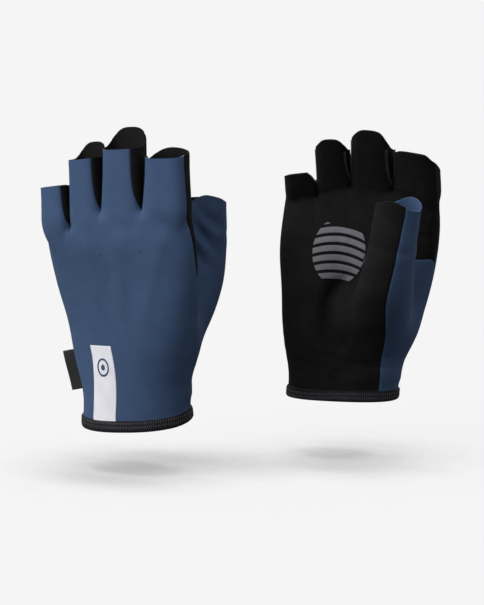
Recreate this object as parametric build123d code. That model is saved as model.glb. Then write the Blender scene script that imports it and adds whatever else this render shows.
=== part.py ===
from build123d import *
import math
import os

os.makedirs("parts", exist_ok=True)

# A pair of short-finger gloves, each filled as if worn, in millimetres.
#
# Each glove is drawn in its own hand frame: origin at the middle of the wrist opening, +Z towards
# the fingertips, +X towards the thumb, -Y the back of the hand and +Y the palm. The left glove is
# then turned into place about the origin, and the right glove is mirrored in Y, turned and moved.

# ---------------------------------------------------------------- driving dimensions
WALL = 1.0              # stretch fabric or suede, one layer with its seam allowance
BINDING_HEIGHT = 7.0    # woven elastic folded over the wrist edge
BINDING_STANDS = 1.1    # how far the elastic stands proud of the panels
CUFF_TILT = 6.0         # the wrist edge is lower on the back of the hand
CUFF_BELOW = 12.0       # how far the hand lofts run past the wrist edge before it is trimmed
KNUCKLE_Z = 119.0       # height of the knuckle line over the wrist, at the middle of the hand
KNUCKLE_Y = -6.0        # the knuckle line lies a little towards the back
KNUCKLE_SLOPE = 4.0     # the knuckle line rises towards the index finger
RIM_DROP = 2.5          # the hand panels end this far under the knuckle line
STALL_DROP = 1.5        # the finger stalls start this far under the knuckle line
SIDE_SEAM_Y = 3.0       # where back and palm meet on the little-finger side
PALM_EDGE_X = 25.0      # where the palm suede ends on the thumb side, at the wrist
PALM_EDGE_LEAN = 4.5    # that edge leans towards the thumb
THUMB_SEAM_TURN = -32.0  # direction that the middle of the thumb's back faces, from +X
PRINT_STANDS = 0.35
STRIP_STANDS = 0.35
LABEL_THICKNESS = 0.8
PAD_THICKNESS = 2.5

# hand sections: height, centre x, centre y, half width, half depth, turn about Z
HAND = [
    (-CUFF_BELOW, 0.0, 0.0, 34.0, 22.5, 0.0),
    (20.0, 1.0, 0.0, 33.0, 21.5, -4.0),
    (52.0, 2.5, 0.0, 38.5, 21.5, -12.0),
    (88.0, 2.0, -2.5, 45.0, 18.5, -8.0),
    (126.0, 0.8, KNUCKLE_Y, 46.5, 14.5, 0.0),
]

# finger stalls: place along the knuckle line, centre y, half width, half depth, lean towards the
# thumb per unit of height, turn about its own axis, length on the back and length on the palm
FINGERS = {
    "little": dict(x=-34.6, y=-5.6, w=8.8, d=8.5, lean=-0.085, turn=-8.0, back=26.4, palm=29.5),
    "ring": dict(x=-14.9, y=-6.6, w=9.9, d=9.0, lean=-0.050, turn=-4.0, back=42.0, palm=45.0),
    "middle": dict(x=7.0, y=-6.6, w=10.8, d=9.4, lean=-0.010, turn=0.0, back=48.0, palm=51.5),
    "index": dict(x=31.6, y=-5.6, w=12.2, d=9.4, lean=0.070, turn=4.0, back=39.0, palm=45.0),
}
TAB_RISE = {"ring": 8.6, "middle": 9.8}
STALL_TAPER = 0.96
STALL_CORNER = 0.82     # corner radius of a stall over its half depth
BACK_SEAM = -0.42       # where the finger back ends, over the half depth
PALM_SEAM = 0.42        # where the finger palm starts, over the half depth

# thumb sleeve: centre line points, radius along X and radius along Y
THUMB_BASE = (27.0, 34.0, 73.0)
THUMB_MIDDLE = (31.2, 42.0, 98.0)
THUMB_TIP = (35.3, 47.2, 128.0)
THUMB_RADII = [(13.0, 12.4), (13.2, 12.4), (12.8, 11.8)]
THUMB_ROOT = (21.0, 10.0, 44.0)      # where the sleeve's root starts, inside the hand
THUMB_ROOT_RADII = (17.0, 15.0)
THUMB_RIM_RADII = (16.6, 16.0)       # the root's open rim, wider than the sleeve

# how each glove stands: fingers' curl at rest, turn about Z, lean about X, roll about Y, place
LEFT = dict(
    name="left", mirrored=False, yaw=-22.0, lean=0.0, roll=-4.5, at=(0.0, 0.0, 0.0), thumb_up=0.0,
    curl={"little": 10.0, "ring": 10.0, "middle": 10.0, "index": 10.0},
)
RIGHT = dict(
    name="right", mirrored=True, yaw=-15.0, lean=4.5, roll=4.0, at=(125.0, 40.0, 9.0), thumb_up=3.0,
    curl={"little": 27.0, "ring": 23.0, "middle": 21.0, "index": 20.0},
)

SPAN = 400.0            # larger than a glove, for cutting blocks


# ---------------------------------------------------------------- shared shapes
def hand_loft(inset):
    """The hand from below the wrist to above the knuckles, drawn in by inset."""
    sections = []
    for z, x, y, half_width, half_depth, turn in HAND:
        plane = Plane(
            origin=(x, y, z),
            x_dir=(math.cos(math.radians(turn)), math.sin(math.radians(turn)), 0.0),
            z_dir=(0.0, 0.0, 1.0),
        )
        outline = RectangleRounded(
            2.0 * (half_width - inset),
            2.0 * (half_depth - inset),
            0.93 * (half_depth - inset),
        )
        sections.append(plane * outline)
    return loft(sections)


def block(low, high):
    """A cutting block between two corners."""
    size = [b - a for a, b in zip(low, high)]
    middle = [(a + b) / 2.0 for a, b in zip(low, high)]
    return Pos(*middle) * Box(*size)


def cuff_plane(height):
    """The tilted plane of the wrist edge, moved up along the hand."""
    tilt = math.radians(CUFF_TILT)
    return Plane(
        origin=(0.0, 0.0, height),
        x_dir=(1.0, 0.0, 0.0),
        z_dir=(0.0, -math.sin(tilt), math.cos(tilt)),
    )


def knuckle_plane(drop):
    """The plane along the knuckle line, moved down by drop."""
    slope = math.radians(KNUCKLE_SLOPE)
    return Plane(
        origin=(0.0, 0.0, KNUCKLE_Z - drop),
        x_dir=(math.cos(slope), 0.0, math.sin(slope)),
        z_dir=(-math.sin(slope), 0.0, math.cos(slope)),
    )


def trimmed(shape, low_plane, high_plane):
    """The part of a shape between two planes."""
    upper = split(shape, bisect_by=low_plane, keep=Keep.TOP)
    return split(upper, bisect_by=high_plane, keep=Keep.BOTTOM)


def skin_patch(inner_inset, outer_inset, region):
    """A thin layer that follows the hand's surface inside a cutting block."""
    layer = hand_loft(outer_inset) - hand_loft(inner_inset)
    return layer & region


# ---------------------------------------------------------------- hand pieces
def ring_section(centre, normal, radii, inset):
    plane = Plane(origin=centre, x_dir=(1.0, 0.0, 0.0), z_dir=normal)
    return plane * Ellipse(radii[0] - inset, radii[1] - inset)


def direction(start, end):
    return (Vector(*end) - Vector(*start)).normalized()


def thumb_root(inset, stretch):
    """The tapering root of the thumb, from inside the hand to its open rim."""
    axis = direction(THUMB_ROOT, THUMB_BASE)
    start = Vector(*THUMB_ROOT)
    rim = Vector(*THUMB_BASE) + axis * stretch
    sections = [
        ring_section(start, axis, THUMB_ROOT_RADII, inset),
        ring_section(rim, axis, THUMB_RIM_RADII, inset),
    ]
    return loft(sections, ruled=True)


def palm_region():
    """Everything on the palm side of the seams."""
    half = block((-SPAN, SIDE_SEAM_Y, -SPAN), (PALM_EDGE_X, SPAN, SPAN))
    return Pos(PALM_EDGE_X, 0, 0) * Rot(0, PALM_EDGE_LEAN, 0) * Pos(-PALM_EDGE_X, 0, 0) * half


def hand_shell():
    """Back and palm in one, with the thumb's root, open at wrist, fingers and thumb."""
    outside = hand_loft(0.0) + thumb_root(0.0, 0.0)
    hollow = hand_loft(WALL) + thumb_root(WALL, 1.0)
    return trimmed(outside - hollow, cuff_plane(1.0), knuckle_plane(RIM_DROP))


def wrist_binding():
    """A woven elastic band that stands proud of the panels and closes their lower edge."""
    band = hand_loft(-BINDING_STANDS) - hand_loft(0.0)
    side = trimmed(band, cuff_plane(0.0), cuff_plane(BINDING_HEIGHT))
    lip = trimmed(hand_loft(0.0) - hand_loft(WALL), cuff_plane(0.0), cuff_plane(1.0))
    return side + lip


def reflective_strip():
    tall = block((-29.0, -60.0, 0.0), (-12.5, 0.0, 50.0))
    patch = skin_patch(0.0, -STRIP_STANDS, tall)
    return split(patch, bisect_by=cuff_plane(BINDING_HEIGHT + 0.1), keep=Keep.TOP)


def grip_print():
    """Seven curved bars of silicone print, long in the middle and short at the ends."""
    layer = hand_loft(-PRINT_STANDS) - hand_loft(0.0)
    bars = []
    for step in range(7):
        z = 77.0 + 5.6 * step
        reach = 16.5 * math.sqrt(1.0 - ((step - 3) / 4.2) ** 2)
        bars.append(layer & block((-6.0 - reach, 2.0, z), (-6.0 + reach, 40.0, z + 3.2)))
    return bars


def heel_pad():
    under = block((-27.0, 6.0, 14.0), (-3.0, 60.0, 50.0))
    return skin_patch(WALL + PAD_THICKNESS, WALL, under)


def care_label():
    inside = block((4.0, -60.0, 9.0), (20.0, -6.0, 27.0))
    return skin_patch(WALL + 0.3, WALL, inside)


def side_label(clear):
    """A folded woven label sewn in the little-finger seam, standing out from it."""
    width = 8.0
    height = 24.0
    plate = Box(width, LABEL_THICKNESS, height)
    edge = Pos(-34.6 - clear - width / 2.0, SIDE_SEAM_Y, 37.0)
    return Pos(-34.6, SIDE_SEAM_Y, 37.0) * Rot(0, -8.5, 0) * Pos(34.6, -SIDE_SEAM_Y, -37.0) * edge * plate


# ---------------------------------------------------------------- finger pieces
def finger_place(name, curl):
    """The stall's own frame: origin on the knuckle line, +Z along the finger, +Y its palm side."""
    finger = FINGERS[name]
    height = KNUCKLE_Z + finger["x"] * math.tan(math.radians(KNUCKLE_SLOPE))
    hinge = Pos(0, KNUCKLE_Y, height)
    lean = math.degrees(math.atan(finger["lean"]))
    bend = Rot(0, -KNUCKLE_SLOPE, 0) * Rot(-curl, 0, 0) * Rot(0, KNUCKLE_SLOPE, 0)
    own = Pos(finger["x"], finger["y"] - KNUCKLE_Y, 0) * Rot(0, lean, 0) * Rot(0, 0, finger["turn"])
    return hinge * bend * own


def stall_loft(name, inset, low, high):
    """A finger sleeve as a closed solid between two heights."""
    finger = FINGERS[name]
    sections = []
    for height, scale in ((low, 1.0), (high, STALL_TAPER)):
        half_width = finger["w"] * scale - inset
        half_depth = finger["d"] * scale - inset
        outline = RectangleRounded(2 * half_width, 2 * half_depth, STALL_CORNER * half_depth)
        sections.append(Plane.XY.offset(height) * outline)
    return loft(sections, ruled=True)


def top_plane(name):
    """The slanted cut across the top of a stall, higher on the palm side."""
    finger = FINGERS[name]
    rise = finger["palm"] - finger["back"]
    slant = math.atan2(rise, 2.0 * finger["d"])
    return Plane(
        origin=(0.0, 0.0, (finger["palm"] + finger["back"]) / 2.0),
        x_dir=(1.0, 0.0, 0.0),
        z_dir=(0.0, -math.sin(slant), math.cos(slant)),
    )


def stall_shell(name):
    finger = FINGERS[name]
    top = finger["palm"] + 12.0
    tube = stall_loft(name, 0.0, -STALL_DROP, top) - stall_loft(name, WALL, -STALL_DROP - 1.0, top + 1.0)
    return tube


def finger_pieces(name):
    """Back, palm, fourchettes and, where the finger has them, side strip and pull tab."""
    finger = FINGERS[name]
    shell = stall_shell(name)
    cut = top_plane(name)
    body = split(shell, bisect_by=cut, keep=Keep.BOTTOM)
    back_at = BACK_SEAM * finger["d"]
    palm_at = PALM_SEAM * finger["d"]
    outer_little = name == "little"
    back_zone = block((-SPAN, -SPAN, -SPAN), (SPAN, back_at, SPAN))
    palm_zone = block((-SPAN, palm_at, -SPAN), (SPAN, SPAN, SPAN))
    thumb_side = block((0.0, back_at, -SPAN), (SPAN, palm_at, SPAN))
    little_side = block((-SPAN, back_at, -SPAN), (0.0, palm_at, SPAN))
    pieces = {
        "back": [body & back_zone],
        "palm": [body & palm_zone],
        "fourchettes": [body & thumb_side, body & little_side],
    }
    if outer_little:
        pieces["back"] = [(body & back_zone) + (body & little_side)]
        pieces["fourchettes"] = [body & thumb_side]
    if name == "index":
        pieces["fourchettes"] = [body & little_side]
        pieces["side_strip"] = [body & thumb_side]
    if name in TAB_RISE:
        rise = finger["palm"] + TAB_RISE[name]
        reach = finger["w"] - 3.2
        tongue = block((-reach, palm_at, -SPAN), (reach, SPAN, rise))
        above = split(shell, bisect_by=cut, keep=Keep.TOP)
        pieces["pull_tab"] = [above & tongue]
    return pieces


# ---------------------------------------------------------------- thumb pieces
def thumb_loft(inset, stretch, thumb_up):
    """The thumb sleeve as a closed solid, lengthened at both ends by stretch."""
    low = Vector(*THUMB_BASE)
    middle = Vector(*THUMB_MIDDLE)
    tip = Vector(*THUMB_TIP) + Vector(0, 0, thumb_up)
    start = direction(low, middle)
    end = direction(middle, tip)
    sections = [
        ring_section(low - start * stretch, start, THUMB_RADII[0], inset),
        ring_section(middle, (start + end).normalized(), THUMB_RADII[1], inset),
        ring_section(tip + end * stretch, end, THUMB_RADII[2], inset),
    ]
    return loft(sections)


def thumb_pieces(thumb_up):
    tube = thumb_loft(0.0, 0.0, thumb_up) - thumb_loft(WALL, 0.6, thumb_up)
    turn = math.radians(THUMB_SEAM_TURN)
    middle = Vector(*THUMB_MIDDLE)
    axis = direction(THUMB_BASE, THUMB_TIP)
    outward = Vector(math.cos(turn), math.sin(turn), 0.0)
    across = axis.cross(outward).normalized()
    normal = across.cross(axis).normalized()
    seam = Plane(origin=middle, x_dir=across, z_dir=normal)
    return {
        "thumb_back": [split(tube, bisect_by=seam, keep=Keep.TOP)],
        "thumb_palm": [split(tube, bisect_by=seam, keep=Keep.BOTTOM)],
    }


# ---------------------------------------------------------------- a whole glove
def glove_location(glove):
    return (
        Pos(*glove["at"])
        * Rot(0, glove["roll"], 0)
        * Rot(glove["lean"], 0, 0)
        * Rot(0, 0, glove["yaw"])
    )


def as_solids(shapes):
    """The solids in a list of shapes, as one flat list."""
    found = []
    for shape in shapes:
        found.extend(shape.solids())
    return found


def glove_nodes(glove):
    """Every piece of one glove by node name, in place."""
    local = {}
    shell = hand_shell()
    region = palm_region()
    local["back_panel"] = [shell - region]
    local["palm_panel"] = [shell & region]
    local["wrist_binding"] = [wrist_binding()]
    local["reflective_strip"] = [reflective_strip()]
    local["grip_print"] = grip_print()
    local["heel_pad"] = [heel_pad()]
    local["care_label"] = [care_label()]
    local.update(thumb_pieces(glove["thumb_up"]))
    for finger in FINGERS:
        place = finger_place(finger, glove["curl"][finger])
        for piece, shapes in finger_pieces(finger).items():
            local[f"{finger}_{piece}"] = [place * solid for solid in as_solids(shapes)]
    if not glove["mirrored"]:
        local["side_label"] = [side_label(0.3)]
    placed = {}
    for name, shapes in local.items():
        solids = as_solids(shapes)
        if glove["mirrored"]:
            solids = [mirror(solid, about=Plane.XZ) for solid in solids]
        placed[f"{glove['name']}_{name}"] = [glove_location(glove) * solid for solid in solids]
    return placed


for glove in (LEFT, RIGHT):
    for node, shapes in glove_nodes(glove).items():
        solids = as_solids(shapes)
        whole = solids[0] if len(solids) == 1 else Compound(children=solids)
        export_step(whole, f"parts/{node}.step")
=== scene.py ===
import math

import bpy
import numpy as np
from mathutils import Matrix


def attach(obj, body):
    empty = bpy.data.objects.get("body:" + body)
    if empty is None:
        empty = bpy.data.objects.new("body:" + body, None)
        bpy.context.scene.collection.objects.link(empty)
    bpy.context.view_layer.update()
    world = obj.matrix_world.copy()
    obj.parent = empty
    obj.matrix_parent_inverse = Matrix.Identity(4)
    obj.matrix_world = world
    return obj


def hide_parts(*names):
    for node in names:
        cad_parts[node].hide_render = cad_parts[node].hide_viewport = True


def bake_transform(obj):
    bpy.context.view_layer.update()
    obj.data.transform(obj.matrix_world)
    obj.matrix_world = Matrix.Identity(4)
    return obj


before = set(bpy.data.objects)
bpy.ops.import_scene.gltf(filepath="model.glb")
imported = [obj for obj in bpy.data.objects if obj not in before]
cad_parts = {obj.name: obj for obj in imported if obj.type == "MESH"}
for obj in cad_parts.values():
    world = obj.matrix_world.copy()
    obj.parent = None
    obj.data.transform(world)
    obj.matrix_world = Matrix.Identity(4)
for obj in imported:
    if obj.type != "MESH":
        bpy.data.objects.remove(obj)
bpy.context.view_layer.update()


# ---------------------------------------------------------------- the worn form
# Both gloves are cut and sewn flat, then filled by a hand. This section draws that filled form in
# the hand frame, in millimetres: +Z fingertips, +X thumb, -Y back of the hand, +Y palm. Each glove
# is turned into its place at the end, and the right one is mirrored in Y.
MM = 0.001
KNUCKLE_Z, KNUCKLE_Y, KNUCKLE_SLOPE = 119.0, -6.0, math.radians(4.0)
CUFF_TILT = math.radians(6.0)
HAND_Z = [-14.0, 0.0, 20.0, 52.0, 88.0, 112.0, 134.0]
HAND_X = [0.0, 0.0, 1.0, 2.5, 2.0, 1.9, 1.2]
HAND_Y = [0.0, 0.0, 0.0, 0.0, -2.5, -5.4, -6.8]
HAND_WIDE = [33.4, 33.0, 32.6, 41.2, 47.2, 47.4, 45.4]
HAND_DEEP = [22.2, 21.8, 21.0, 20.6, 18.2, 15.5, 10.6]
HAND_TURN = [0.0, 0.0, -4.0, -12.0, -8.0, -3.0, 0.0]
HAND_FULL = 2.35            # 2 is an ellipse, more is fuller in the corners
WEB_X = [-44.0, -36.0, -26.0, -15.5, -4.8, 7.0, 19.0, 31.5, 44.0]
WEB_Z = [122.0, 122.5, 120.5, 129.5, 130.0, 132.5, 130.0, 131.0, 129.0]
GAP_Z = [118.5, 129.5, 129.0]      # where the dark wall starts in each gap, from the little finger on
THUMB_Z = [26.0, 44.0, 73.0, 98.0, 128.0, 150.0]
THUMB_X = [15.0, 21.0, 27.8, 32.0, 34.8, 37.0]
THUMB_Y = [4.0, 14.0, 35.0, 45.0, 47.8, 50.0]
THUMB_WIDE = [8.0, 15.0, 16.4, 14.0, 12.9, 12.7]
THUMB_DEEP = [7.0, 15.0, 18.5, 15.0, 12.0, 11.8]
THUMB_CUT_AT = [-180.0, -140.0, -105.0, -70.0, -30.0, 10.0, 57.0, 95.0, 130.0, 165.0, 180.0]
THUMB_CUT = [-2.8, -4.6, 0.0, 3.4, 1.4, -2.6, -4.0, -2.2, -0.2, -0.8, -2.8]     # round from the thumb side
THUMB_SEAM = np.array([0.848, -0.530])      # the way the middle of the thumb's back faces
FINGERS = {
    "little": dict(x=-35.4, y=-8.8, w=8.8, d=8.4, flare=0.15, lean=-0.070, turn=-14.0, back=28.0,
                   palm=29.0, bend=4.0, edge=0.84),
    "ring": dict(x=-15.1, y=-10.0, w=9.7, d=9.0, flare=0.10, lean=-0.050, turn=-8.0, back=42.0,
                 palm=44.5, bend=8.0, edge=0.80),
    "middle": dict(x=7.7, y=-10.0, w=12.0, d=9.4, flare=0.10, lean=-0.004, turn=0.0, back=45.4,
                   palm=50.0, bend=9.0, edge=0.66),
    "index": dict(x=34.4, y=-8.8, w=12.4, d=9.4, flare=0.11, lean=0.010, turn=5.0, back=37.4,
                  palm=45.0, bend=9.0, edge=0.80),
}
ORDER = ["little", "ring", "middle", "index"]
TAB_RISE = {"ring": 8.8, "middle": 9.8}
SPLIT_H = -14.0             # fingers take over from the hand this far under the knuckle line
CUFF_PIVOT = 16.0           # the wrist edge tilts sideways about this distance towards the thumb
GLOVES = [
    dict(
        name="left", flip=1.0, cuff_lean=0.0, yaw=-22.0, lean=0.0, roll=-4.5, at=(0.0, 0.0, 0.0),
        thumb_up=0.0, dome=1.0, thumb_front=0.0, short=0.0,
        trim=dict(little=0.0, ring=0.0, middle=0.0, index=0.0), dip={},
        curl=dict(little=10.0, ring=10.0, middle=10.0, index=10.0),
    ),
    dict(
        name="right", flip=-1.0, cuff_lean=0.09, yaw=-15.0, lean=4.5, roll=4.0, at=(125.0, 40.0, 9.0),
        thumb_up=4.4, dome=0.0, thumb_front=6.2, short=2.6,
        trim=dict(little=14.0, ring=9.0, middle=9.0, index=13.0),
        dip=dict(little=7.0, middle=2.0, index=2.4),
        curl=dict(little=29.0, ring=26.0, middle=24.0, index=23.0),
    ),
]


def turn(axis, degrees):
    """A 3 by 3 turn about a coordinate axis."""
    c, s = math.cos(math.radians(degrees)), math.sin(math.radians(degrees))
    i, j = [(1, 2), (2, 0), (0, 1)]["xyz".index(axis)]
    m = np.eye(3)
    m[i, i], m[i, j], m[j, i], m[j, j] = c, -s, s, c
    return m


def flowing(at, places, values):
    """A smooth curve through values at places, held level past its ends."""
    places, values = np.array(places, float), np.array(values, float)
    slopes = np.gradient(values, places)
    at = np.clip(at, places[0], places[-1])
    k = np.clip(np.searchsorted(places, at) - 1, 0, len(places) - 2)
    span = places[k + 1] - places[k]
    t = (at - places[k]) / span
    start, end = values[k], values[k + 1]
    return (
        start * (1 + 2 * t) * (1 - t) ** 2 + end * t * t * (3 - 2 * t)
        + span * (slopes[k] * t * (1 - t) ** 2 - slopes[k + 1] * t * t * (1 - t))
    )


def ease(t):
    t = np.clip(t, 0.0, 1.0)
    return t * t * (3 - 2 * t)


def tube_distance(x, y, wide, deep, full):
    """How far a point is outside a rounded section, along the ray from its middle."""
    reach = ((np.abs(x) / wide) ** full + (np.abs(y) / deep) ** full) ** (1.0 / full)
    return np.hypot(x, y) * (1.0 - 1.0 / np.maximum(reach, 1e-6))


def melt(a, b, soft):
    """Two forms joined with a soft fillet."""
    h = np.maximum(soft - np.abs(a - b), 0.0) / soft
    return np.minimum(a, b) - h * h * soft / 4.0


def hand_section(p):
    z = p[:, 2]
    a = np.radians(flowing(z, HAND_Z, HAND_TURN))
    x = p[:, 0] - flowing(z, HAND_Z, HAND_X)
    y = p[:, 1] - flowing(z, HAND_Z, HAND_Y)
    return x * np.cos(a) + y * np.sin(a), -x * np.sin(a) + y * np.cos(a)


def hand_distance(p):
    z = p[:, 2]
    x, y = hand_section(p)
    side = tube_distance(x, y, flowing(z, HAND_Z, HAND_WIDE), flowing(z, HAND_Z, HAND_DEEP), HAND_FULL)
    heel = np.sqrt(((p[:, 0] + 17) / 19) ** 2 + ((p[:, 1] - 9) / 14.5) ** 2 + ((z - 42) / 34) ** 2)
    side = melt(side, (heel - 1.0) * 13.0, 9.0)
    top = (z - flowing(p[:, 0], WEB_X, WEB_Z)) * 0.97
    return -melt(-side, -top, 7.0)


def thumb_middle(z):
    return flowing(z, THUMB_Z, THUMB_X), flowing(z, THUMB_Z, THUMB_Y)


def thumb_distance(p):
    z = p[:, 2]
    x, y = thumb_middle(z)
    side = tube_distance(
        p[:, 0] - x, p[:, 1] - y, flowing(z, THUMB_Z, THUMB_WIDE), flowing(z, THUMB_Z, THUMB_DEEP), 2.1
    )
    return np.maximum(side * 0.95, 26.0 - z)


def stall_turn(glove, finger):
    """The finger's own axes, and its root on the knuckle line, in the hand frame."""
    f = FINGERS[finger]
    bend = turn("y", -math.degrees(KNUCKLE_SLOPE)) @ turn("x", -glove["curl"][finger])
    bend = bend @ turn("y", math.degrees(KNUCKLE_SLOPE))
    own = turn("y", math.degrees(math.atan(f["lean"]))) @ turn("z", f["turn"])
    knuckle = np.array([0.0, KNUCKLE_Y, KNUCKLE_Z + f["x"] * math.tan(KNUCKLE_SLOPE)])
    root = knuckle + bend @ np.array([f["x"], f["y"] - KNUCKLE_Y, 0.0])
    return bend @ own, root


def in_finger(glove, finger, p):
    axes, root = stall_turn(glove, finger)
    return (p - root) @ axes


def flared(finger, h):
    """How much wider a finger is at height h than at its end."""
    f = FINGERS[finger]
    return 1.0 + f["flare"] * (1.0 - ease(np.maximum(h, 0.0) / f["back"]))


def finger_distance(glove, finger, p):
    f = FINGERS[finger]
    q = in_finger(glove, finger, p)
    h = q[:, 2]
    swell = flared(finger, h)
    side = tube_distance(q[:, 0], q[:, 1], f["w"] * swell, f["d"] * (0.4 + 0.6 * swell), 3.4)
    return side + 9.0 * np.clip((10.0 - h) / 24.0, 0.0, 1.0) ** 2


def form_distance(glove, finger, p):
    """The filled glove near one finger, or near the thumb when no finger is named."""
    d = hand_distance(p)
    if finger is None:
        return melt(d, thumb_distance(p), 10.0 + 10.0 * ease((96.0 - p[:, 2]) / 40.0))
    return melt(d, finger_distance(glove, finger, p), 2.2)


def facing(distance, p):
    """Unit normals of a form, from how its distance grows."""
    step = 0.25
    g = np.stack([distance(p + e) - distance(p - e) for e in np.eye(3) * step], 1)
    return g / np.maximum(np.linalg.norm(g, axis=1, keepdims=True), 1e-9)


def skin_of(distance, low, high, step):
    """The surface where distance is zero, as points and triangles on an even grid."""
    axes = [np.arange(a, b + step, step) for a, b in zip(low, high)]
    grid = np.stack(np.meshgrid(*axes, indexing="ij"), -1)
    shape = grid.shape[:3]
    value = distance(grid.reshape(-1, 3)).reshape(shape)
    inside = value < 0
    cells = tuple(n - 1 for n in shape)
    total = np.zeros(cells + (3,))
    count = np.zeros(cells)
    for axis in range(3):
        others = [k for k in range(3) if k != axis]
        for u in (0, 1):
            for v in (0, 1):
                near = [slice(0, cells[k]) for k in range(3)]
                near[others[0]] = slice(u, u + cells[others[0]])
                near[others[1]] = slice(v, v + cells[others[1]])
                far = list(near)
                far[axis] = slice(1, 1 + cells[axis])
                a, b = value[tuple(near)], value[tuple(far)]
                crossed = (a < 0) != (b < 0)
                t = np.where(crossed, a / np.where(crossed, a - b, 1.0), 0.0)[..., None]
                point = grid[tuple(near)] * (1 - t) + grid[tuple(far)] * t
                total += np.where(crossed[..., None], point, 0.0)
                count += crossed
    used = count > 0
    number = np.full(cells, -1)
    number[used] = np.arange(used.sum())
    points = total[used] / count[used][:, None]
    faces = []
    for axis in range(3):
        others = [(axis + 1) % 3, (axis + 2) % 3]
        near = [slice(0, shape[k]) for k in range(3)]
        near[axis] = slice(0, cells[axis])
        far = list(near)
        far[axis] = slice(1, shape[axis])
        crossed = inside[tuple(near)] != inside[tuple(far)]
        for k in others:
            edge = [slice(None)] * 3
            edge[k] = [0, -1]
            crossed[tuple(edge)] = False
        at = np.argwhere(crossed)
        leaving = inside[tuple(at.T)]
        corners = []
        for u, v in ((-1, -1), (0, -1), (0, 0), (-1, 0)):
            c = at.copy()
            c[:, others[0]] += u
            c[:, others[1]] += v
            corners.append(number[tuple(c.T)])
        quads = np.stack(corners, 1)
        quads[~leaving] = quads[~leaving][:, ::-1]
        faces.append(quads)
    quads = np.concatenate(faces)
    quads = quads[(quads >= 0).all(1)]
    for turn_ in range(5):
        if turn_ in (1, 2):
            points = relaxed(points, quads)
        n = facing(distance, points)
        points = points - np.clip(distance(points), -1.0, 1.0)[:, None] * n
    triangles = np.concatenate([quads[:, [0, 1, 2]], quads[:, [0, 2, 3]]])
    return points, triangles


def relaxed(points, quads):
    """Points moved half-way to the middle of their neighbours, to even out the mesh."""
    total, count = np.zeros_like(points), np.zeros(len(points))
    for k in range(4):
        a, b = quads[:, k], quads[:, (k + 1) % 4]
        np.add.at(total, a, points[b])
        np.add.at(total, b, points[a])
        np.add.at(count, a, 1)
        np.add.at(count, b, 1)
    middle = total / np.maximum(count, 1)[:, None]
    return np.where(count[:, None] > 0, points * 0.5 + middle * 0.5, points)


def snip(points, triangles, value, keep_rest=False):
    """A mesh cut along the line where value is zero; the part below zero goes, unless it is kept."""
    above = value >= 0
    kinds = above[triangles].sum(1)
    kept = [triangles[kinds == 3]]
    if keep_rest:
        kept.append(triangles[kinds == 0])
    new_points, base = [], len(points)
    for lone_above in (True, False):
        some = triangles[kinds == (1 if lone_above else 2)]
        if not len(some):
            continue
        lone = np.argmax(above[some] == lone_above, axis=1)
        rows = np.arange(len(some))
        a, b, c = some[rows, lone], some[rows, (lone + 1) % 3], some[rows, (lone + 2) % 3]
        cuts = []
        for far in (b, c):
            low, high = np.minimum(a, far), np.maximum(a, far)
            t = (value[low] / (value[low] - value[high]))[:, None]
            cuts.append(points[low] * (1 - t) + points[high] * t)
        first = base + sum(len(n) for n in new_points)
        new_points.extend(cuts)
        ab = first + rows
        ac = first + len(rows) + rows
        tip = np.stack([a, ab, ac], 1)
        rest = np.concatenate([np.stack([ab, b, c], 1), np.stack([ab, c, ac], 1)])
        if lone_above or keep_rest:
            kept.append(tip)
        if not lone_above or keep_rest:
            kept.append(rest)
    points = np.concatenate([points] + new_points)
    triangles = np.concatenate(kept)
    return welded(points, triangles)


def welded(points, triangles):
    """The mesh with double points joined, and flat or unused ones gone."""
    used = np.unique(triangles)
    key = np.round(points[used], 4)
    _, first, which = np.unique(key, axis=0, return_index=True, return_inverse=True)
    table = np.zeros(len(points), int)
    table[used] = which.reshape(-1)
    triangles = table[triangles]
    a, b, c = triangles.T
    triangles = triangles[(a != b) & (b != c) & (a != c)]
    return points[used][first], triangles


def seam_height(glove, finger, p):
    """Height over the little-finger side seam: above zero on the palm side."""
    low = p[:, 1] - flowing(p[:, 2], HAND_Z, HAND_Y) - 2.0
    if finger is None:
        return low
    q = in_finger(glove, finger, p)
    w = ease((q[:, 2] + 10.0) / 20.0)
    return low * (1 - w) + (q[:, 1] - 1.0) * w


def thumb_seam(p):
    """Above zero on the black side of the thumb's seam plane."""
    z = p[:, 2]
    x = flowing(z, [0.0, 44.0, 73.0, 98.0, 128.0], [21.4, 20.6, 21.6, 27.2, 34.4])
    y = flowing(z, [0.0, 44.0, 73.0, 98.0, 128.0], [8.1, 14.1, 34.0, 42.0, 47.2])
    return (x - p[:, 0]) * THUMB_SEAM[0] + (y - p[:, 1]) * THUMB_SEAM[1]


def palm_side(glove, finger, p):
    over_crotch = (p[:, 2] - 91.5) * 0.8
    return np.minimum(seam_height(glove, finger, p), np.maximum(thumb_seam(p), over_crotch))


def strip_width(glove, p):
    """Inside the index side strip, which narrows down the hand to a rounded end."""
    q = in_finger(glove, "index", p)
    w = ease((q[:, 2] + 6.0) / 12.0)
    across = q[:, 1] * w + (p[:, 1] + 5.6) * (1 - w)
    half = 4.6 * np.sqrt(np.clip((p[:, 2] - 88.0) / 26.0, 0.0, 1.0)) + 0.9 * ease((q[:, 2] - 5) / 35.0)
    half = np.where(across > 0.8, np.where(p[:, 2] > 91.4, np.maximum(half, 5.0), half), half)
    return np.minimum.reduce([half - np.abs(across - 0.8), p[:, 0] - 15.0, p[:, 2] - 88.0])


def seam_reach(finger, side):
    """How many degrees the palm seam of a side wall moves on to the front of the finger."""
    return 40.0 if finger in TAB_RISE and side == 1 else 26.0


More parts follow.
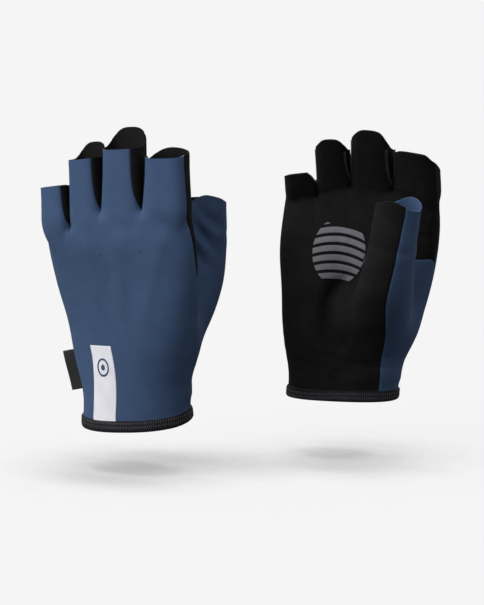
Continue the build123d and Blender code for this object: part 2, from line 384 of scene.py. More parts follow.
def wedge_width(glove, finger, p):
    """Inside a fourchette of this finger, the dark wall between two fingers."""
    f = FINGERS[finger]
    q = in_finger(glove, finger, p)
    k = ORDER.index(finger)
    angle = np.degrees(np.arctan2(q[:, 0] / f["w"], -q[:, 1] / f["d"]))
    widths = []
    for side in (1, -1):
        if (finger, side) in (("little", -1), ("index", 1)):
            continue
        web = GAP_Z[k if side == 1 else k - 1] - KNUCKLE_Z - f["x"] * math.tan(KNUCKLE_SLOPE)
        t = np.clip((q[:, 2] - web) / (f["back"] - web), -0.4, 1.0)
        bow = np.where(t > 0, 1.0 - np.clip(1.0 - t, 0.0, 1.0) ** 4.0, t * 4.0)
        across = q[:, 0] / (f["w"] * flared(finger, q[:, 2])) * side
        edge = f["edge"] if side == 1 else 0.88
        wide = across - (1.0 + (edge - 1.0) * bow)
        deep = (q[:, 1] + 0.2 * f["d"]) / f["d"] * 0.9
        back_edge = np.minimum(wide, 1.0)
        seam = 98.0 + seam_reach(finger, side) * np.clip(bow, -0.5, 1.0)
        palm_edge = (seam - angle * side) * math.radians(1.0)
        far = np.where(angle * side < -20.0, -1.0, 1.0)
        low = (q[:, 2] - web + 9.0) / f["w"]
        widths.append(np.minimum.reduce([np.maximum(back_edge, deep), palm_edge, far, low]) * f["w"])
    return widths[0] if len(widths) == 1 else np.maximum(*widths)


def dark_side(glove, finger, p):
    """Above zero in any piece that lies between the back and the palm of a finger."""
    strip = strip_width(glove, p)
    if finger is None:
        return strip
    wedge = wedge_width(glove, finger, p)
    return np.maximum(strip, wedge) if finger == "index" else wedge


def lane(glove, finger, p):
    """Above zero where this finger is nearer than its neighbours."""
    own = finger_distance(glove, finger, p)
    k = ORDER.index(finger)
    beside = [finger_distance(glove, ORDER[j], p) for j in (k - 1, k + 1) if 0 <= j < 4]
    return np.minimum.reduce([d - own for d in beside]) * 0.5


def split_height(finger, p):
    return p[:, 2] - (KNUCKLE_Z + p[:, 0] * math.tan(KNUCKLE_SLOPE) + SPLIT_H)


def cuff_height(glove, p):
    level = p[:, 2] * math.cos(CUFF_TILT) - p[:, 1] * math.sin(CUFF_TILT)
    return level - glove["cuff_lean"] * (p[:, 0] - CUFF_PIVOT)


def thumb_sleeve(p):
    """Above zero on the thumb's own sleeve."""
    return np.minimum(hand_distance(p) - thumb_distance(p) - 2.0, p[:, 2] - 60.0)


for glove in GLOVES:
    skins = {}
    skins[None] = skin_of(
        lambda p: form_distance(glove, None, p), (-54, -32, -8), (60, 72, 146), 1.5
    )
    for finger in ORDER:
        axes, root = stall_turn(glove, finger)
        f = FINGERS[finger]
        top = root + axes @ np.array([0.0, 0.0, f["palm"] + 16.0])
        low = np.minimum(root, top) - np.array([f["w"] + 7, 24, 22])
        high = np.maximum(root, top) + np.array([f["w"] + 7, 16, 2])
        skins[finger] = skin_of(lambda p: form_distance(glove, finger, p), low, high, 1.15)
    glove["skins"] = skins
    glove["turned"] = turn("y", glove["roll"]) @ turn("x", glove["lean"]) @ turn("z", glove["yaw"])
    glove["turned"] = glove["turned"] @ np.diag([1.0, glove["flip"], 1.0])


# ---------------------------------------------------------------- back panels
# The back of each glove is one piece of matte slate-blue stretch knit. It wraps round the thumb side
# onto the palm and runs up over the backs of the fingers, where its edges are cut raw.
CLOTH = 0.75                # how far a panel stands out over the hollow of its seams
LINING = 0.45               # how far it reaches inwards
ROLL = 1.3                  # how far from a seam the panel curves down into it
OVERLAP = 2.5               # how far a panel is kept past its trim line until it is shaped


def cloth_material(name, colour, light, fold, weave, sheen, rough, grain=0.35, gloss=0.25, specks=0.35):
    """A woven or knitted material: fine ribs both ways, soft mottling and fuzz, on the piece's UV."""
    m = bpy.data.materials.new(name)
    m.use_nodes = True
    nodes, links = m.node_tree.nodes, m.node_tree.links
    shader = nodes["Principled BSDF"]
    shader.inputs["Roughness"].default_value = rough
    shader.inputs["Specular IOR Level"].default_value = gloss
    shader.inputs["Sheen Weight"].default_value = sheen
    shader.inputs["Sheen Roughness"].default_value = 0.45
    shader.inputs["Sheen Tint"].default_value = (*[min(1.0, c * 3 + 0.12) for c in colour], 1.0)
    uv = nodes.new("ShaderNodeUVMap")
    uv.uv_map = "UVMap"

    def texture(kind, scale, **settings):
        node = nodes.new(kind)
        node.inputs["Scale"].default_value = scale
        for key, value in settings.items():
            if key in node.inputs:
                node.inputs[key].default_value = value
            else:
                setattr(node, key, value)
        links.new(uv.outputs["UV"], node.inputs["Vector"])
        return node

    ribs = texture("ShaderNodeTexWave", weave, bands_direction="X", Distortion=0.6)
    rows = texture("ShaderNodeTexWave", weave * fold, bands_direction="Y", Distortion=0.6)
    fuzz = texture("ShaderNodeTexNoise", 22.0, Detail=4.0, Roughness=0.7)
    cloud = texture("ShaderNodeTexNoise", 0.9, Detail=3.0, Roughness=0.55)
    knit = nodes.new("ShaderNodeMath")
    knit.operation = "MULTIPLY"
    links.new(ribs.outputs["Fac"], knit.inputs[0])
    links.new(rows.outputs["Fac"], knit.inputs[1])
    mixed = nodes.new("ShaderNodeMath")
    mixed.operation = "MULTIPLY_ADD"
    mixed.inputs[1].default_value = grain
    links.new(fuzz.outputs["Fac"], mixed.inputs[0])
    links.new(knit.outputs[0], mixed.inputs[2])
    tone = nodes.new("ShaderNodeMapRange")
    tone.inputs["From Min"].default_value = 0.25
    tone.inputs["From Max"].default_value = 0.75
    links.new(cloud.outputs["Fac"], tone.inputs["Value"])
    dark = tuple(c * 0.90 for c in colour)
    between = nodes.new("ShaderNodeMix")
    between.data_type = "RGBA"
    between.inputs["A"].default_value = (*dark, 1.0)
    between.inputs["B"].default_value = (*light, 1.0)
    links.new(tone.outputs["Result"], between.inputs["Factor"])
    pores = nodes.new("ShaderNodeMix")
    pores.data_type = "RGBA"
    pores.blend_type = "MULTIPLY"
    pores.inputs["Factor"].default_value = specks
    spread = nodes.new("ShaderNodeMapRange")
    spread.inputs["To Min"].default_value = 0.6
    spread.inputs["To Max"].default_value = 1.15
    links.new(mixed.outputs[0], spread.inputs["Value"])
    links.new(between.outputs["Result"], pores.inputs["A"])
    links.new(spread.outputs["Result"], pores.inputs["B"])
    links.new(pores.outputs["Result"], shader.inputs["Base Color"])
    bump = nodes.new("ShaderNodeBump")
    bump.inputs["Strength"].default_value = 0.35
    bump.inputs["Distance"].default_value = 0.00025
    links.new(mixed.outputs[0], bump.inputs["Height"])
    links.new(bump.outputs["Normal"], shader.inputs["Normal"])
    return m


def all_shown(p):
    """For a piece that no neighbour trims."""
    return np.full(len(p), 5.0)


def patch(glove, finger, inside, hidden, lift=CLOTH, drop=LINING, roll=ROLL, floor=0.0, raw=0):
    """One panel of a skin: cut at its seams, raised between them, then trimmed where it only meets
    itself. The last raw of its borders are cut edges, which stay at full thickness. Gives rows of
    base, outer, inner and facing, and triangles."""
    points, triangles = glove["skins"][finger]
    distance = lambda p: form_distance(glove, finger, p)
    points, triangles = snip(points, triangles, hidden(points) + OVERLAP)
    for k in range(len(inside(points[:1]))):
        points, triangles = snip(points, triangles, inside(points)[k])
    for level in (0.3, 0.8, 1.6):
        borders = inside(points)
        room = np.minimum.reduce(borders[:len(borders) - raw]) - level * roll / ROLL
        points, triangles = snip(points, triangles, room, keep_rest=True)
    borders = inside(points)
    edge = np.clip(np.minimum.reduce(borders[:len(borders) - raw]) / roll, 0.0, 1.0)
    n = facing(distance, points)
    up = floor + (lift - floor) * np.sqrt(1.0 - (1.0 - edge) ** 2) + relief(glove, finger, points, n)
    outer = points + n * up[:, None]
    inner = points - n * drop + n * relief(glove, finger, points, n)[:, None]
    a, b, c = (outer[triangles[:, k]] for k in range(3))
    flat = np.cross(b - a, c - a)
    normal = np.zeros_like(outer)
    for k in range(3):
        np.add.at(normal, triangles[:, k], flat)
    normal /= np.maximum(np.linalg.norm(normal, axis=1, keepdims=True), 1e-12)
    rows = np.concatenate([points, outer, inner, normal], 1)
    return snip(rows, triangles, hidden(points))


def relief(glove, finger, p, n):
    """Knuckles, tendons and folds that the hand and the pulled cloth leave in the surface."""
    back = np.clip(-n[:, 1], 0.0, 1.0) ** 1.5
    up = np.zeros(len(p))
    for name, f in FINGERS.items():
        foot = np.array([f["x"] * 0.30, 34.0])
        head = np.array([f["x"] * 1.02, 112.0])
        t = np.clip((p[:, 2] - foot[1]) / (head[1] - foot[1]), 0.0, 1.0)
        aside = p[:, 0] - (foot[0] + (head[0] - foot[0]) * t)
        ridge = np.exp(-((aside / 4.6) ** 2)) * ease((p[:, 2] - 48.0) / 40.0)
        ridge = ridge * ease((128.0 - p[:, 2]) / 22.0)
        knob = np.exp(-((aside / 7.5) ** 2) - ((p[:, 2] - 111.0) / 9.0) ** 2)
        up += back * (0.55 * ridge + 0.35 * knob)
    if finger is None:
        x, y = thumb_middle(p[:, 2])
        near = np.exp(-(((p[:, 2] - 104.0) / 15.0) ** 2))
        rear = np.clip(-n[:, 1] * 1.2, 0.0, 1.0) * ease((p[:, 1] - 12.0) / 10.0)
        along = (p[:, 2] - 104.0) * 0.62 + (p[:, 0] - x) * 0.78
        up += rear * near * 1.15 * np.sin(along * 2 * math.pi / 8.5)
        inner_side = np.clip(n[:, 1], 0.0, 1.0)
        ball = np.hypot(p[:, 0] - 9.0, (p[:, 2] - 58.0) * 0.8)
        crease = np.exp(-(((ball - 18.0) / 4.0) ** 2)) * ease((9.0 - p[:, 0]) / 10.0)
        up -= inner_side * 4.2 * crease * ease((86.0 - p[:, 2]) / 16.0)
        up -= inner_side * 4.2 * np.exp(-(((p[:, 0] + 4.0) / 11.0) ** 2) - ((p[:, 2] - 76.0) / 17.0) ** 2)
        fold = (p[:, 2] - 110.0) + 0.10 * p[:, 0]
        up -= inner_side * 0.8 * np.exp(-((fold / 2.6) ** 2))
        gather = np.sin(p[:, 2] * 2 * math.pi / 7.5 + p[:, 0] * 0.12)
        up += inner_side * 0.22 * gather * np.exp(-(((p[:, 2] - 26.0) / 13.0) ** 2))
    return up


def outline(triangles):
    """The open edges of a mesh, in the order their triangles run."""
    edges = np.concatenate([triangles[:, [0, 1]], triangles[:, [1, 2]], triangles[:, [2, 0]]])
    low, high = edges.min(1), edges.max(1)
    key = low.astype(np.int64) * (high.max() + 1) + high
    _, where, count = np.unique(key, return_index=True, return_counts=True)
    return edges[where[count == 1]]


def cloth_uv(glove, finger, p):
    """Where each point lies on its panel, in centimetres round and along it."""
    if finger is None:
        x, y = hand_section(p)
        return np.stack([np.arctan2(x, -y) * 3.4, p[:, 2] * 0.1], 1)
    q = in_finger(glove, finger, p)
    return np.stack([np.arctan2(q[:, 0], -q[:, 1]) * 0.98, q[:, 2] * 0.1], 1)


def in_place(glove, points):
    return (points @ glove["turned"].T + np.array(glove["at"])) * MM


def sewn(glove, name, patches, material, nodes, edging=None):
    """A closed cloth piece from its patches, in place in the row frame, with its cut edges in the edging
    colour, which on the blue pieces is a lighter blue: a painted highlight along the raw edges."""
    verts, tris, uvs, normals, soft = [], [], [], [], []
    start = 0
    for finger, (rows, triangles) in patches:
        base, outer, inner, normal = rows[:, :3], rows[:, 3:6], rows[:, 6:9], rows[:, 9:12]
        count = len(rows)
        rim = outline(triangles)
        a, b = rim.T
        wall = np.concatenate([
            np.stack([b, a, a + count], 1), np.stack([b, a + count, b + count], 1)
        ])
        verts += [outer, inner]
        uv = cloth_uv(glove, finger, base)
        uvs += [uv, uv]
        normal = normal / np.maximum(np.linalg.norm(normal, axis=1, keepdims=True), 1e-9)
        normals += [normal, -normal]
        tris += [triangles + start, triangles[:, ::-1] + count + start, wall + start]
        soft += [np.ones(2 * len(triangles), bool), np.zeros(len(wall), bool)]
        start += 2 * count
    points = in_place(glove, np.concatenate(verts))
    triangles = np.concatenate(tris)
    if glove["flip"] < 0:
        triangles = triangles[:, ::-1]
    piece = mesh_piece(
        f"{glove['name']}_{name}_cloth", points, triangles, np.concatenate(uvs),
        np.concatenate(normals) @ glove["turned"].T, np.concatenate(soft), material, nodes
    )
    if edging:
        piece.data.materials.append(edging)
        piece.data.polygons.foreach_set("material_index", (~np.concatenate(soft)).astype(np.int32))
    return piece


def mesh_piece(name, points, triangles, uvs, normals, soft, material, nodes):
    mesh = bpy.data.meshes.new(name)
    mesh.vertices.add(len(points))
    mesh.vertices.foreach_set("co", points.astype(np.float32).reshape(-1))
    mesh.loops.add(triangles.size)
    mesh.loops.foreach_set("vertex_index", triangles.reshape(-1).astype(np.int32))
    mesh.polygons.add(len(triangles))
    mesh.polygons.foreach_set("loop_start", np.arange(0, triangles.size, 3, dtype=np.int32))
    mesh.update(calc_edges=True)
    layer = mesh.uv_layers.new(name="UVMap")
    layer.data.foreach_set("uv", uvs[triangles.reshape(-1)].astype(np.float32).reshape(-1))
    mesh.polygons.foreach_set("use_smooth", np.ones(len(triangles), bool))
    if normals is not None:
        a, b, c = (points[triangles[:, k]] for k in range(3))
        flat = np.cross(b - a, c - a)
        flat /= np.maximum(np.linalg.norm(flat, axis=1, keepdims=True), 1e-15)
        corner = normals[triangles.reshape(-1)]
        hard = np.repeat(~soft, 3)
        corner[hard] = np.repeat(flat, 3, axis=0)[hard]
        mesh.normals_split_custom_set(corner.astype(np.float32).tolist())
    mesh.materials.append(material)
    obj = bpy.data.objects.new(name, mesh)
    bpy.context.scene.collection.objects.link(obj)
    if nodes:
        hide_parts(*nodes)
    return obj


def finger_top(glove, finger, p):
    """How far a point is under the slanted cut across the finger's end."""
    f = FINGERS[finger]
    q = in_finger(glove, finger, p)
    back = f["back"] - glove["trim"][finger] - glove["short"]
    palm = f["palm"] - glove["short"]
    slant = (palm - back) / (2.0 * f["d"])
    cut = (palm + back) / 2.0 + slant * q[:, 1]
    cut -= glove["dip"].get(finger, 0.0) * ease((q[:, 0] / f["w"] - 0.55) / 0.45)
    if finger in TAB_RISE:
        dome = np.clip(1.0 - (np.abs(q[:, 0]) / f["w"]) ** 3, 0.0, 1.0) ** 0.8
        cut += TAB_RISE[finger] * dome * ease((q[:, 1] + 5.0) / 7.0)
    else:
        fall = np.where(q[:, 0] < 0, 4.6, 2.6) * (np.abs(q[:, 0]) / f["w"]) ** 2
        cut -= glove["dome"] * fall * ease((q[:, 1] + 4.0) / 8.0)
    return (cut - q[:, 2]) / math.hypot(1.0, slant)


def bends(glove, finger, piece):
    """The piece's placement is baked into its mesh."""
    axes, root = stall_turn(glove, finger)
    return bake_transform(piece)


BLUE = (0.034, 0.067, 0.141)
blue_knit = cloth_material(
    "slate_blue_stretch_knit", BLUE, (0.039, 0.075, 0.156), 1.25, 9.0, 0.08, 0.82
)
# The cut edges of the blue knit get a lighter blue: a painted highlight where the raw edges catch the
# light.
blue_cut_edge_highlight = cloth_material(
    "slate_blue_cut_edge_painted_highlight", (0.10, 0.15, 0.24), (0.13, 0.18, 0.28), 1.0, 9.0, 0.15, 0.82
)
for glove in GLOVES:
    side = glove["name"]
    panel = patch(
        glove, None,
        lambda p: [-palm_side(glove, None, p), -dark_side(glove, None, p), cuff_height(glove, p) - 0.6],
        lambda p: np.minimum(-split_height(None, p), -thumb_sleeve(p)),
    )
    back = sewn(
        glove, "back_panel", [(None, panel)], blue_knit, [f"{side}_back_panel"],
        blue_cut_edge_highlight
    )
    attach(back, f"{side}_hand")
    for finger in ORDER:
        panel = patch(
            glove, finger,
            lambda p: [
                -palm_side(glove, finger, p), -dark_side(glove, finger, p), finger_top(glove, finger, p)
            ],
            lambda p: np.minimum(split_height(finger, p), lane(glove, finger, p)), raw=1,
        )
        piece = sewn(
            glove, f"{finger}_back", [(finger, panel)], blue_knit,
            [f"{side}_{finger}_back"], blue_cut_edge_highlight
        )
        bends(glove, finger, piece)


# ---------------------------------------------------------------- thumb sleeves
# A blue back and a black suede front are sewn into a sleeve, which is set into a hole between the
# back panel and the palm. Its top is cut across, a little lower towards the seams.
def thumb_bends(piece):
    """The piece's placement is baked into its mesh."""
    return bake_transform(piece)


def thumb_top(glove, p):
    """How far a point is under the thumb's cut, which dips at both seams."""
    x, y = thumb_middle(p[:, 2])
    around = np.degrees(np.arctan2(p[:, 1] - y, p[:, 0] - x))
    front = glove["thumb_front"] * np.exp(-(((around - 85.0) / 55.0) ** 2))
    return THUMB_Z[4] + glove["thumb_up"] + flowing(around, THUMB_CUT_AT, THUMB_CUT) + front - p[:, 2]


SUEDE = (0.0044, 0.0044, 0.0046)
black_suede = cloth_material(
    "black_suede", SUEDE, (0.0085, 0.0085, 0.0088), 1.0, 14.0, 0.02, 0.92, grain=1.6, gloss=0.12, specks=0.9
)
for glove in GLOVES:
    side = glove["name"]
    for part, sign, material, slot in (
        ("thumb_back", -1.0, blue_knit, "stretch_fabric"), ("thumb_palm", 1.0, black_suede, "palm_suede")
    ):
        panel = patch(
            glove, None,
            lambda p: [sign * thumb_seam(p), thumb_top(glove, p)],
            thumb_sleeve, raw=1,
        )
        piece = sewn(glove, part, [(None, panel)], material, [f"{side}_{part}"])
        thumb_bends(piece)


# ---------------------------------------------------------------- palms
# Black synthetic suede covers the palm and the front of every finger. On the ring and the middle
# finger it runs on into a rounded tab, which is pulled to take the glove off.
for glove in GLOVES:
    side = glove["name"]
    panel = patch(
        glove, None,
        lambda p: [palm_side(glove, None, p), -dark_side(glove, None, p), cuff_height(glove, p) - 0.6],
        lambda p: np.minimum(-split_height(None, p), -thumb_sleeve(p)),
    )
    palm = sewn(glove, "palm_panel", [(None, panel)], black_suede, [f"{side}_palm_panel"])
    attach(palm, f"{side}_hand")
    for finger in ORDER:
        panel = patch(
            glove, finger,
            lambda p: [
                palm_side(glove, finger, p), -dark_side(glove, finger, p), finger_top(glove, finger, p)
            ],
            lambda p: np.minimum(split_height(finger, p), lane(glove, finger, p)), raw=1,
        )
        nodes = [f"{side}_{finger}_palm"] + ([f"{side}_{finger}_pull_tab"] if finger in TAB_RISE else [])
        piece = sewn(glove, f"{finger}_palm", [(finger, panel)], black_suede, nodes)
        bends(glove, finger, piece)


# ---------------------------------------------------------------- fourchettes and side strips
# Narrow walls of black knit stand between the fingers, each folded at the web, and a strip of the
# same knit runs down the thumb side of the index finger to the thumb crotch.
KNIT = (0.0036, 0.0036, 0.0040)
side_knit = cloth_material(
    "black_side_knit", KNIT, (0.0054, 0.0054, 0.0059), 1.0, 12.0, 0.02, 0.85, gloss=0.12
)
for glove in GLOVES:
    side = glove["name"]
    for finger in ORDER:
        panel = patch(
            glove, finger,
            lambda p: [wedge_width(glove, finger, p), finger_top(glove, finger, p)],
            lambda p: np.minimum(split_height(finger, p), lane(glove, finger, p)),
            lift=CLOTH * 0.7, raw=1,
        )
        piece = sewn(
            glove, f"{finger}_fourchettes", [(finger, panel)], side_knit,
            [f"{side}_{finger}_fourchettes"]
        )
        bends(glove, finger, piece)
    low = patch(
        glove, None, lambda p: [strip_width(glove, p)], lambda p: -split_height(None, p), lift=CLOTH * 0.7
    )
    high = patch(
        glove, "index",
        lambda p: [strip_width(glove, p), finger_top(glove, "index", p)],
        lambda p: np.minimum(split_height("index", p), lane(glove, "index", p)),
        lift=CLOTH * 0.7, raw=1,
    )
    piece = sewn(
        glove, "index_side_strip", [(None, low), ("index", high)], side_knit,
        [f"{side}_index_side_strip"]
    )
    bends(glove, "index", piece)


# ---------------------------------------------------------------- wrist bindings
# Black woven elastic is folded over the wrist edge of all the panels and stitched through.
BINDING = 7.2               # height of the folded band
elastic = cloth_material(
    "black_woven_elastic", (0.0045, 0.0050, 0.0078), (0.0105, 0.0115, 0.0155), 1.6, 7.0, 0.02, 0.75,
    grain=0.9, gloss=0.15, specks=0.8
)
for glove in GLOVES:
    side = glove["name"]
    band = patch(
        glove, None,
        lambda p: [cuff_height(glove, p), BINDING - cuff_height(glove, p)],
        all_shown, lift=1.75, drop=1.3, roll=1.5, floor=0.5,
    )
    piece = sewn(
        glove, "wrist_binding", [(None, band)], elastic, [f"{side}_wrist_binding"]
    )
    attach(piece, f"{side}_hand")


# ---------------------------------------------------------------- reflective strips
# A light grey film is bonded to the back over the binding, on the little-finger side of the middle.
film = cloth_material("reflective_film", (0.75, 0.75, 0.80), (0.78, 0.78, 0.82), 1.0, 20.0, 0.0, 0.45)
for glove in GLOVES:
    side = glove["name"]

    def film_area(p):
        middle = flowing(p[:, 2], [7.0, 20.0, 32.0, 42.0, 51.0], [-11.7, -10.4, -9.8, -10.3, -11.7])
        half = flowing(p[:, 2], [7.0, 20.0, 32.0, 42.0, 51.0], [7.9, 8.0, 7.9, 7.6, 7.6])
        return [half - np.abs(p[:, 0] - middle), 50.0 - p[:, 2], cuff_height(glove, p) - 6.6, -p[:, 1]]

    sheet = patch(
        glove, None, film_area, all_shown, lift=CLOTH + 0.4, drop=-CLOTH + 0.2,
        roll=0.5, floor=CLOTH + 0.15,
    )
    piece = sewn(
        glove, "reflective_strip", [(None, sheet)], film, [f"{side}_reflective_strip"]
    )
    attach(piece, f"{side}_hand")


# ---------------------------------------------------------------- strip marks
# A plain upright oval ring with a dot in it is printed in slate blue on each reflective strip.
for glove in GLOVES:
    side = glove["name"]

    def from_mark(p):
        return np.hypot((p[:, 0] + 10.2) / 0.74, p[:, 2] - 37.0)

    marks = [
        (None, patch(
            glove, None, area, all_shown, lift=CLOTH + 0.62, drop=-CLOTH - 0.2,
            roll=0.3, floor=CLOTH + 0.5,
        ))
        for area in (
            lambda p: [5.6 - from_mark(p), from_mark(p) - 4.4, -p[:, 1]],
            lambda p: [1.9 - from_mark(p), -p[:, 1]],
        )
    ]
    piece = sewn(glove, "strip_mark", marks, blue_knit, [])
    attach(piece, f"{side}_hand")


# ---------------------------------------------------------------- grip prints
# Soft grey silicone is screened onto each palm in short curved bars inside an oval.
grip = cloth_material("grey_grip_print", (0.165, 0.157, 0.178), (0.195, 0.186, 0.21), 1.0, 16.0, 0.0, 0.55)
for glove in GLOVES:
    side = glove["name"]
    bars = []
    for step in range(7):
        def bar(p):
            x, z = p[:, 0] + 6.0, p[:, 2] - 93.0
            sag = z + 0.014 * x * x - 1.5
            oval = (1.0 - np.hypot(x / 16.0, z / 20.0)) * 15.0
            return [oval, 1.75 - np.abs(sag - 5.4 * (step - 3)), palm_side(glove, None, p)]

        bars.append((None, patch(
            glove, None, bar, all_shown, lift=CLOTH + 0.3, drop=-CLOTH + 0.2, roll=0.4,
            floor=CLOTH + 0.12,
        )))
    piece = sewn(glove, "grip_print", bars, grip, [f"{side}_grip_print"])
    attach(piece, f"{side}_hand")


# ---------------------------------------------------------------- heel pads
# A thin foam pad lies under the suede at the heel of each palm.
foam = cloth_material("grey_foam", (0.10, 0.10, 0.11), (0.13, 0.13, 0.14), 1.0, 5.0, 0.0, 0.95)
for glove in GLOVES:
    side = glove["name"]
    pad = patch(
        glove, None,
        lambda p: [
            12.5 - np.abs(p[:, 0] + 15.0), 18.0 - np.abs(p[:, 2] - 32.0), palm_side(glove, None, p),
            20.0 - np.hypot(p[:, 0] + 15.0, p[:, 2] - 32.0),
        ],
        all_shown, lift=-0.7, drop=3.0, roll=2.5, floor=-1.8,
    )
    piece = sewn(glove, "heel_pad", [(None, pad)], foam, [f"{side}_heel_pad"])
    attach(piece, f"{side}_hand")


# ---------------------------------------------------------------- labels
# A blank woven care label lies flat inside each wrist, and a folded black loop label stands out of
# the side seam of the left glove.
tape = cloth_material("black_label_tape", (0.012, 0.012, 0.013), (0.02, 0.02, 0.021), 1.0, 18.0, 0.0, 0.6)
white_tape = cloth_material("white_care_label", (0.55, 0.55, 0.55), (0.62, 0.62, 0.62), 1.0, 18.0, 0.0, 0.7)
for glove in GLOVES:
    side = glove["name"]
    label = patch(
        glove, None, lambda p: [8.0 - np.abs(p[:, 0] - 12.0), 9.0 - np.abs(p[:, 2] - 18.0), -p[:, 1]],
        all_shown, lift=-LINING - 0.15, drop=LINING + 0.75, roll=0.3,
        floor=-LINING - 0.2,
    )
    piece = sewn(glove, "care_label", [(None, label)], white_tape, [f"{side}_care_label"])
    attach(piece, f"{side}_hand")


def lofted(rings):
    """Points and triangles of a closed tube through rings of points, with flat ends."""
    count, around = len(rings), len(rings[0])
    points = np.concatenate(list(rings) + [[rings[0].mean(0)], [rings[-1].mean(0)]])
    tris = []
    for i in range(count - 1):
        for j in range(around):
            a, b = i * around + j, i * around + (j + 1) % around
            tris += [(a, b, b + around), (a, b + around, a + around)]
    last = (count - 1) * around
    for j in range(around):
        k = (j + 1) % around
        tris += [(count * around, k, j), (count * around + 1, last + j, last + k)]
    return points, np.array(tris)


glove = GLOVES[0]
rings = []
for z in np.linspace(-12.3, 12.3, 26):
    ring = []
    for t in np.linspace(0.0, 2 * math.pi, 24, endpoint=False):
        out = -5.2 - 5.6 * math.cos(t)
        thick = 0.42 * math.sin(t) * (1.0 + 0.5 * (math.cos(t) > 0.6))
        wave = 0.25 * math.sin(z * 0.22) * (out / 8.0)
        ring.append((out, thick + wave, z))
    rings.append(np.array(ring))
points, tris = lofted(rings)
at = np.array([[-0.4, 0.0, 0.0], [-6.4, 0.0, 0.0]])
points, at = (v @ turn("y", -9.0).T + np.array([-34.6, 3.0, 32.6]) for v in (points, at))
at = in_place(glove, at)
uv = np.stack([points[:, 0] * 0.1, points[:, 2] * 0.1], 1)
label = mesh_piece(
    "left_side_label_loop", in_place(glove, points), tris, uv, None, None, tape,
    ["left_side_label"]
)
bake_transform(label)


# ---------------------------------------------------------------- seams and stitching
# Charcoal thread: a zigzag holds the finger fronts to their side walls, and two rows of short
# stitches go through both layers of each wrist binding.
thread_colour = cloth_material(
    "charcoal_thread", (0.085, 0.085, 0.09), (0.12, 0.12, 0.125), 1.0, 30.0, 0.0, 0.5
)


def on_skin(glove, finger, start, away, lift):
    """Where rays from inside the form meet its skin, raised by lift, with the way out there."""
    near, far = np.zeros(len(start)), np.full(len(start), 60.0)
    for _ in range(22):
        middle = (near + far) / 2.0
        inside = form_distance(glove, finger, start + away * middle[:, None]) < 0
        near, far = np.where(inside, middle, near), np.where(inside, far, middle)
    points = start + away * near[:, None]
    n = facing(lambda p: form_distance(glove, finger, p), points)
    return points + n * (relief(glove, finger, points, n) + lift)[:, None], n


def thread(route, out, radius):
    """Rings of a fine round thread along a route."""
    along = np.gradient(route, axis=0)
    along /= np.maximum(np.linalg.norm(along, axis=1, keepdims=True), 1e-9)
    beside = np.cross(along, out)
    beside /= np.maximum(np.linalg.norm(beside, axis=1, keepdims=True), 1e-9)
    up = np.cross(beside, along)
    turns = np.linspace(0.0, 2 * math.pi, 5, endpoint=False)
    return [
        np.array([p + radius * (math.cos(t) * b + math.sin(t) * u) for t in turns])
        for p, b, u in zip(route, beside, up)
    ]


def threads(glove, name, runs, radius):
    points, tris, start = [], [], 0
    for route, out in runs:
        tube, faces = lofted(thread(route, out, radius))
        points.append(tube)
        tris.append(faces + start)
        start += len(tube)
    points, tris = np.concatenate(points), np.concatenate(tris)
    if glove["flip"] < 0:
        tris = tris[:, ::-1]
    uv = points[:, [0, 2]] * 0.1
    return mesh_piece(
        f"{glove['name']}_{name}", in_place(glove, points), tris, uv, None, None, thread_colour, []
    )


for glove in GLOVES:
    side = glove["name"]
    for finger in ORDER:
        f = FINGERS[finger]
        k = ORDER.index(finger)
        axes, root = stall_turn(glove, finger)
        runs = []
        for way in (1, -1):
            if (finger, way) in (("little", -1), ("index", 1)):
                continue
            web = GAP_Z[k if way == 1 else k - 1] - KNUCKLE_Z - f["x"] * math.tan(KNUCKLE_SLOPE)
            top = f["palm"] - glove["short"] - 1.2 - glove["dip"].get(finger, 0.0) * (way == 1)
            top -= 6.0 * glove["dome"] * (finger not in TAB_RISE)
            h = np.arange(max(web + 5.0, 6.0), top, 0.85)
            t = np.clip((h - web) / (f["back"] - web), 0.0, 1.0)
            zigzag = np.where(np.arange(len(h)) % 2, 1.0, -1.0) * 4.5 - 3.0
            angle = np.radians(98.0 + seam_reach(finger, way) * (1.0 - (1.0 - t) ** 4.0) + zigzag) * way
            away = np.stack([np.sin(angle) * f["w"], -np.cos(angle) * f["d"], 0 * h], 1)
            away /= np.linalg.norm(away, axis=1, keepdims=True)
            start = root + np.stack([0 * h, 0 * h, h], 1) @ axes.T
            runs.append(on_skin(glove, finger, start, away @ axes.T, CLOTH * 0.75))
        piece = threads(glove, f"{finger}_seam_thread", runs, 0.33)
        bends(glove, finger, piece)
    turns = np.radians(np.arange(0.0, 360.0, 2.6))
    runs = []
    for low, high in ((1.5, 3.6), (3.9, 6.0)):
        a = np.stack([turns, turns + 0.024], 1).reshape(-1)
        away = np.stack([np.cos(a), np.sin(a), 0 * a], 1)
        height = np.tile([low, high], len(turns)) + 20.0 * math.sin(CUFF_TILT) * away[:, 1]
        height += glove["cuff_lean"] * (33.0 * away[:, 0] - CUFF_PIVOT)
        start = np.stack([0 * a, 0 * a, height], 1)
        at, out = on_skin(glove, None, start, away, 1.78)
        runs += [(at[k:k + 2], out[k:k + 2]) for k in range(0, len(a), 2)]
    piece = threads(glove, "binding_thread", runs, 0.16)
    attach(piece, f"{side}_hand")
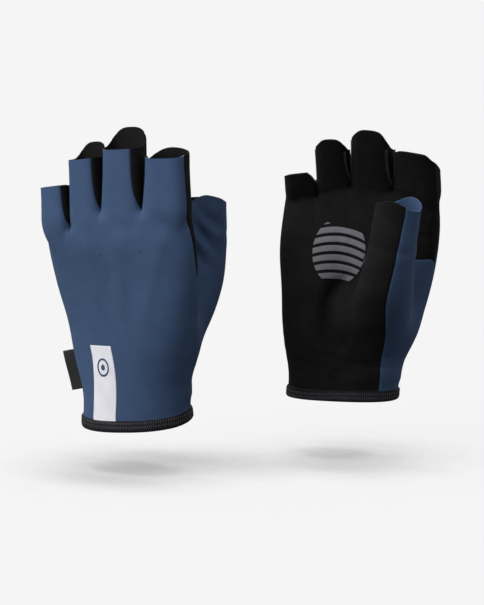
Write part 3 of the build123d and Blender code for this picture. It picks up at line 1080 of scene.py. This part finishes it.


# ---------------------------------------------------------------- studio
# A plain pale floor that glows evenly for the camera, with a painted soft shadow under each glove,
# a broad light from the left, a weak one from above, and a long lens a little above the gloves.
PALE = 0.913
stage_paint = bpy.data.materials.new("pale_stage")
stage_paint.use_nodes = True
nodes, links = stage_paint.node_tree.nodes, stage_paint.node_tree.links
shader = nodes["Principled BSDF"]
shader.inputs["Base Color"].default_value = (0.08, 0.08, 0.08, 1.0)
shader.inputs["Roughness"].default_value = 1.0
shader.inputs["Specular IOR Level"].default_value = 0.0
shader.inputs["Emission Color"].default_value = (1.0, 1.0, 1.0, 1.0)
path = nodes.new("ShaderNodeLightPath")
# Painted shadow: for camera rays the floor glows, and ambient occlusion dims that glow under each glove
# without the lamps. Only the weak diffuse part takes real shadows.
under = nodes.new("ShaderNodeAmbientOcclusion")
under.inputs["Distance"].default_value = 0.085
under.samples = 16
painted_shadow_glow = nodes.new("ShaderNodeMapRange")
painted_shadow_glow.interpolation_type = "SMOOTHSTEP"
painted_shadow_glow.inputs["From Min"].default_value = 0.74
painted_shadow_glow.inputs["From Max"].default_value = 0.94
painted_shadow_glow.inputs["To Min"].default_value = 0.42
painted_shadow_glow.inputs["To Max"].default_value = PALE - 0.08 * 1.42
links.new(under.outputs["AO"], painted_shadow_glow.inputs["Value"])
seen = nodes.new("ShaderNodeMath")
seen.operation = "MULTIPLY"
links.new(path.outputs["Is Camera Ray"], seen.inputs[0])
links.new(painted_shadow_glow.outputs["Result"], seen.inputs[1])
links.new(seen.outputs[0], shader.inputs["Emission Strength"])
floor_mesh = bpy.data.meshes.new("floor")
floor_mesh.from_pydata([(-40, -8, 0), (40, -8, 0), (40, 60, 0), (-40, 60, 0)], [], [(0, 1, 2, 3)])
floor_mesh.materials.append(stage_paint)
floor = bpy.data.objects.new("floor", floor_mesh)
floor.location = (0.0, 0.0, -0.029)
bpy.context.scene.collection.objects.link(floor)

world = bpy.data.worlds.new("studio")
bpy.context.scene.world = world
world.use_nodes = True
nodes, links = world.node_tree.nodes, world.node_tree.links
sky = nodes["Background"]
sky.inputs["Color"].default_value = (1.0, 1.0, 1.0, 1.0)
path = nodes.new("ShaderNodeLightPath")
level = nodes.new("ShaderNodeMapRange")
level.inputs["To Min"].default_value = 0.68
level.inputs["To Max"].default_value = PALE
links.new(path.outputs["Is Camera Ray"], level.inputs["Value"])
links.new(level.outputs["Result"], sky.inputs["Strength"])


def lamp(name, power, angle, tilt, around):
    """A broad distant light: tilt from straight down, and which way round it comes from."""
    light = bpy.data.lights.new(name, "SUN")
    light.energy = power
    light.angle = math.radians(angle)
    obj = bpy.data.objects.new(name, light)
    obj.rotation_euler = (math.radians(tilt), 0.0, math.radians(around))
    bpy.context.scene.collection.objects.link(obj)


lamp("key", 3.1, 60.0, 58.0, -68.0)
lamp("overhead", 0.7, 30.0, 0.0, 0.0)

MIDDLE = (0.063, 0.0, 0.0726)
DISTANCE = 1.9
VIEW_HEIGHT = 0.363
ELEVATION = math.radians(9.0)
camera = bpy.data.cameras.new("camera")
camera.sensor_width = 36.0
camera.lens = 36.0 * DISTANCE / VIEW_HEIGHT
eye = bpy.data.objects.new("camera", camera)
bpy.context.scene.collection.objects.link(eye)
eye.location = (
    MIDDLE[0], MIDDLE[1] - DISTANCE * math.cos(ELEVATION), MIDDLE[2] + DISTANCE * math.sin(ELEVATION)
)
eye.rotation_euler = (math.radians(90.0) - ELEVATION, 0.0, 0.0)
bpy.context.scene.camera = eye
bpy.context.scene.view_settings.view_transform = "Standard"
